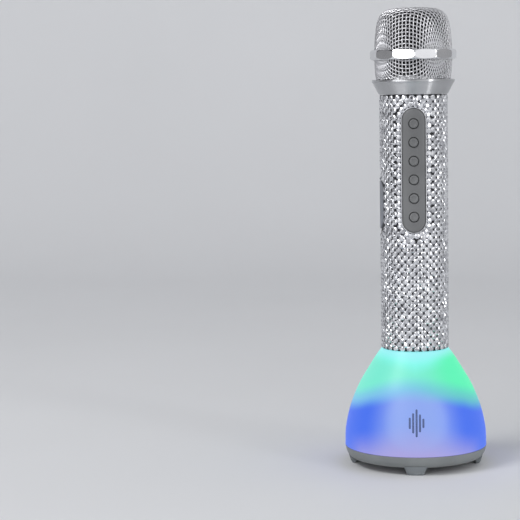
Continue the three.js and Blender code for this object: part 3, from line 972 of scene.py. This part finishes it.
def pressed_net(line, count):
    """Crossings of a flat woven net pressed over the dome: one quarter, counted from the crown along its two
    straight wires. Each crossing keeps its distance from the two before it, until the wires crowd together
    half way between the straight ones."""
    net = np.zeros((count, count, 3))
    aside = np.array([1, -1, 0]) / math.sqrt(2)
    length = np.concatenate([[0], np.cumsum(np.linalg.norm(np.diff(line, axis=0), axis=1))])
    for i in range(count):
        r, z = line[np.abs(length - i * WIRE_PITCH).argmin()]
        net[i, 0] = (r, 0, z)
        net[0, i] = (0, r, z)
    for j in range(1, count):
        for i in range(j, count):
            before = (net[i, j - 1], net[i - 1, j])
            point = before[0] + before[1] - net[i - 1, j - 1]
            need = CROWD_REACH * (1 - math.exp(-(i - j) * CROWDED / 2 / CROWD_REACH))
            for _ in range(14):
                for other in before:
                    gap = point - other
                    point = point + 0.5 * (WIRE_PITCH / np.linalg.norm(gap) - 1) * gap
                point = point + max(need - float(point @ aside), 0.0) * aside
                point = laid_on(point, line)[0]
            net[i, j] = point
            net[j, i] = point[[1, 0, 2]]
    return net


def full_net():
    """The whole net and its outward normals, from the quarter and its mirror images, evened out a little."""
    line = dome_line()
    slope = np.gradient(line, axis=0)
    slope /= np.linalg.norm(slope, axis=1)[:, None]
    outward = np.stack([-slope[:, 1], slope[:, 0]], 1)
    middle = line - outward * (WIRE_R + CRIMP)
    count = NET_COUNT
    quarter = pressed_net(middle, count)
    spots = np.zeros((2 * count - 1, 2 * count - 1, 3))
    for way_x in (1, -1):
        for way_y in (1, -1):
            rows = count - 1 + way_x * np.arange(count)
            columns = count - 1 + way_y * np.arange(count)
            spots[np.ix_(rows, columns)] = quarter * np.array([way_x, way_y, 1])
    for _ in range(EVENING):
        around = spots[2:, 1:-1] + spots[:-2, 1:-1] + spots[1:-1, 2:] + spots[1:-1, :-2]
        spots[1:-1, 1:-1] = laid_on(spots[1:-1, 1:-1] * 0.4 + around * 0.15, middle)[0]
    station = laid_on(spots, middle)[1]
    turn = np.arctan2(spots[..., 1], spots[..., 0])
    lean = outward[station]
    normals = np.stack([lean[..., 0] * np.cos(turn), lean[..., 0] * np.sin(turn), lean[..., 1]], -1)
    normals[count - 1, count - 1] = (0, 0, 1)
    angle = math.radians(-90 - NET_TURN)
    turning = np.array([
        [math.cos(angle), -math.sin(angle), 0],
        [math.sin(angle), math.cos(angle), 0],
        [0, 0, 1],
    ])
    return spots @ turning.T, normals @ turning.T


def woven(spots, normals, low, high):
    """The net's wires between two heights, crimped over and under each other."""
    size = spots.shape[0]
    weave = (-1.0) ** np.add.outer(np.arange(size), np.arange(size))
    parts = []
    for family in (0, 1):
        crossings = spots + normals * (weave * CRIMP * (1 if family else -1))[..., None]
        if family:
            crossings, lean = crossings.transpose(1, 0, 2), normals.transpose(1, 0, 2)
        else:
            lean = normals
        for wire, facing in zip(crossings, lean):
            line = spline(wire, 3)
            up = spline(facing, 3)
            inside = (line[:, 2] > low) & (line[:, 2] < high)
            marks = np.flatnonzero(np.diff(np.concatenate([[0], inside.astype(int), [0]])))
            for start, stop in zip(marks[::2], marks[1::2]):
                if stop - start > 3:
                    parts.append(tube(line[start:stop], up[start:stop], WIRE_R, 6))
    return parts


def make_head_mesh():
    spots, normals = full_net()
    band_low, band_high = box_mm("grille_band")
    upper = gathered(woven(spots, normals, band_high.z - 1.2, 400))
    made = object_from("upper_weave", upper)
    finished(made, finishes["wire_mesh"], replaces=["upper_grille"], crease=60)
    band_middle = (band_low.z + band_high.z) / 2
    flipped = spots * np.array([1, 1, -1]) + np.array([0, 0, 2 * band_middle])
    lean = normals * np.array([1, 1, -1])
    lower = gathered(woven(flipped, lean, box_mm("lower_grille")[0].z - 0.2, band_low.z + 1.2))
    made = object_from("lower_weave", lower)
    finished(made, finishes["wire_mesh"], replaces=["lower_grille"], crease=60)


def make_foam():
    """Foam liner inside the mesh, uneven as cut foam is."""
    low, high = box_mm("windscreen_foam")
    line = dome_line()
    outer = [(r * high.x / line[-1][0], z) for r, z in line[::21] if z > low.z + 12]
    drop = line[0][1] - high.z
    outside = [(r, z - drop) for r, z in outer]
    inside = [(max(r - 3, 0.0), z - 3) for r, z in outside if z - 3 > low.z and r > 3]
    outline = [*outside, (high.x, low.z + 0.5), (high.x - 0.5, low.z), (high.x - 3, low.z), *reversed(inside),
               (0.0, high.z - 3)]
    made = object_from("foam_liner", turned(outline, 96, False))
    chance = random.Random(5)
    for corner in made.data.vertices:
        corner.co -= corner.normal * chance.uniform(0, 0.12) * MM
    finished(made, finishes["foam"], replaces=["windscreen_foam"], crease=70)


def make_surround():
    """Rolled rubber between the loudspeaker's basket and its cone."""
    low, high = box_mm("speaker_surround")
    middle = spline([
        (high.x - 0.05, low.z + 0.75), (high.x - 0.9, low.z + 0.7), (high.x - 1.8, low.z + 0.33),
        (high.x - 2.6, low.z + 0.45), (high.x - 3.2, low.z + 1.1), (high.x - 3.7, low.z + 1.6),
        (high.x - 4.6, low.z + 1.68),
    ], 4)
    slope = np.gradient(middle, axis=0)
    slope /= np.linalg.norm(slope, axis=1)[:, None]
    side = 0.28 * np.stack([-slope[:, 1], slope[:, 0]], 1)
    outline = [tuple(p) for p in (*(middle + side), *(middle - side)[::-1])]
    made = object_from("rolled_surround", turned(outline, 96))
    finished(made, finishes["black_rubber"], None, ["speaker_surround"], 60)
    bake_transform(made)


# ---- CAD pieces that stay as they are ----
KEPT = {
    "chrome_plate": ("charging_socket",),
    "satin_metal": ("base_screw_", "speaker_magnet", "grille_skirt", "capsule_body"),
    "white_plastic": ("sound_chamber",),
    "board_green": ("light_board", "main_board"),
    "black_plastic": ("neck_", "speaker_basket", "port_bay", "audio_socket", "tact_switch_", "battery_cradle",
                      "capsule_stem", "handle_tube"),
    "black_rubber": ("speaker_lead", "capsule_lead", "shock_ring"),
    "cone_paper": ("speaker_cone", "dust_cap", "speaker_spider"),
    "brass": ("voice_coil", "capsule_cap"),
    "chip_black": ("radio_module", "amplifier_chip"),
    "cell_wrap": ("battery_cell",),
    "port_grey": ("cover_hinge",),
}


def finish_kept_nodes():
    for name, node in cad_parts.items():
        if node.hide_render:
            continue
        finish = next(key for key, starts in KEPT.items() if name.startswith(starts))
        node.data.materials.clear()
        node.data.materials.append(finishes[finish])


# ---- Studio ----
def make_floor():
    """A pale sweep: flat under the microphone, then curving up behind it."""
    material, bench = new_finish("pale_sweep")
    at = bench.place()[0]
    cloud = bench.noise(at, 3, 2)
    fine = bench.noise(at, 900, 2)
    bench.surface(
        Base_Color=bench.mix(cloud, tone(214, 215, 217), tone(222, 223, 225)),
        Roughness=0.62 + fine * 0.1,
        Normal=bench.bump(fine, 0.00005, 0.1),
    )
    reach, bend = 1600.0, 700.0
    outline = [(-2600.0, 0.0), (reach - bend, 0.0)]
    for k in range(1, 17):
        angle = math.pi / 2 * k / 16
        outline.append((reach - bend + bend * math.sin(angle), bend - bend * math.cos(angle)))
    outline.append((reach, 2400.0))
    points = [(x, y, z) for y, z in outline for x in (-2600.0, 2600.0)]
    floor = object_from("pale_sweep", (points, grid_faces(len(outline), 2, False, False)))
    floor.data.materials.append(material)
    floor.data.shade_smooth()


TENT = (0.84, 0.85, 0.87)
TENT_STRENGTH = 0.92
TENT_PATCHES = (  # direction, where the patch begins and is full (cosine of the angle off it), and its colour
    ((-0.7, -0.72, 0.5), 0.82, 0.98, (1.8, 1.8, 1.85)),  # bright, in front at the left and high
    ((0.64, -0.77, -0.1), 0.94, 0.985, (1.08, 1.08, 1.1)),  # bright, in front at the right
    ((-1, -0.05, 0.0), 0.86, 0.96, (0.33, 0.33, 0.34)),  # dark, at the left
    ((1, 0.1, 0.0), 0.86, 0.97, (0.4, 0.4, 0.41)),  # dark, at the right
    ((-1, -0.1, 0.75), 0.78, 0.94, (0.03, 0.03, 0.035)),  # darkest, above at the left
    ((-0.35, 0.1, 1.0), 0.72, 0.95, (0.08, 0.08, 0.09)),  # dark, overhead
    ((0.0, -1, 0.08), 0.955, 0.99, (0.12, 0.12, 0.13)),  # dark, behind the camera
)


def make_sky():
    """A tent of soft light with two brighter patches in front, and darker ones at both sides, overhead and
    behind the camera."""
    world = bpy.data.worlds.new("studio")
    world.use_nodes = True
    scene.world = world
    bench = Bench(world.node_tree)
    way = bench.node("TexCoord", output="Generated")
    colour = TENT
    for direction, begins, full, patch in TENT_PATCHES:
        toward = tuple(Vector(direction).normalized())
        facing = bench.node("VectorMath", {"operation": "DOT_PRODUCT"}, {0: way, 1: toward}, output="Value")
        colour = bench.mix(facing.step(begins, full), colour, patch)
    light = bench.node("Background", {}, {"Color": colour, "Strength": TENT_STRENGTH})
    bench.node("OutputWorld", {}, {"Surface": light})


AIM = (0, 0, 0.13)  # the softboxes face this point


def make_softbox(name, place, width, height, power):
    data = bpy.data.lights.new(name, "AREA")
    data.shape = "RECTANGLE"
    data.size = width
    data.size_y = height
    data.energy = power
    lamp = bpy.data.objects.new(name, data)
    scene.collection.objects.link(lamp)
    lamp.location = place
    aim = Vector(AIM) - Vector(place)
    lamp.rotation_mode = "QUATERNION"
    lamp.rotation_quaternion = aim.to_track_quat("-Z", "Y")


LENS = 119.08
CAMERA_AWAY, CAMERA_UP = 0.961, 0.212
YAW, PITCH, ROLL = (math.radians(angle) for angle in (5.156, 5.733, -0.888))


def make_camera():
    """Stands a metre off at the height of the collar, turned a little left of the microphone."""
    data = bpy.data.cameras.new("camera")
    data.sensor_width = 36
    data.lens = LENS
    camera = bpy.data.objects.new("camera", data)
    scene.collection.objects.link(camera)
    camera.location = (0, -CAMERA_AWAY, CAMERA_UP)
    turned_aside = Matrix.Rotation(YAW, 3, "Z")
    tipped = Matrix.Rotation(math.pi / 2 - PITCH, 3, "X")
    rolled = Matrix.Rotation(ROLL, 3, "Z")
    camera.rotation_mode = "QUATERNION"
    camera.rotation_quaternion = (turned_aside @ tipped @ rolled).to_quaternion()
    scene.camera = camera


make_camera()
make_floor()
make_sky()
make_softbox("front_light", (-0.55, -1.1, 0.42), 0.3, 0.42, 0.8)
make_softbox("right_light", (1.03, -0.87, 0.3), 0.16, 1.1, 4.2)
make_softbox("left_key", (-0.85, -0.6, 1.2), 0.5, 0.5, 9)
scene.view_settings.view_transform = "Standard"

make_base_ring()
make_feet()
make_grille_disc()
make_bell()
make_level_mark()
make_stone_setting()
make_stones()
make_bezel()
make_strip()
make_buttons()
make_port_cover()
make_collar()
make_band()
make_head_mesh()
make_foam()
make_surround()
finish_kept_nodes()
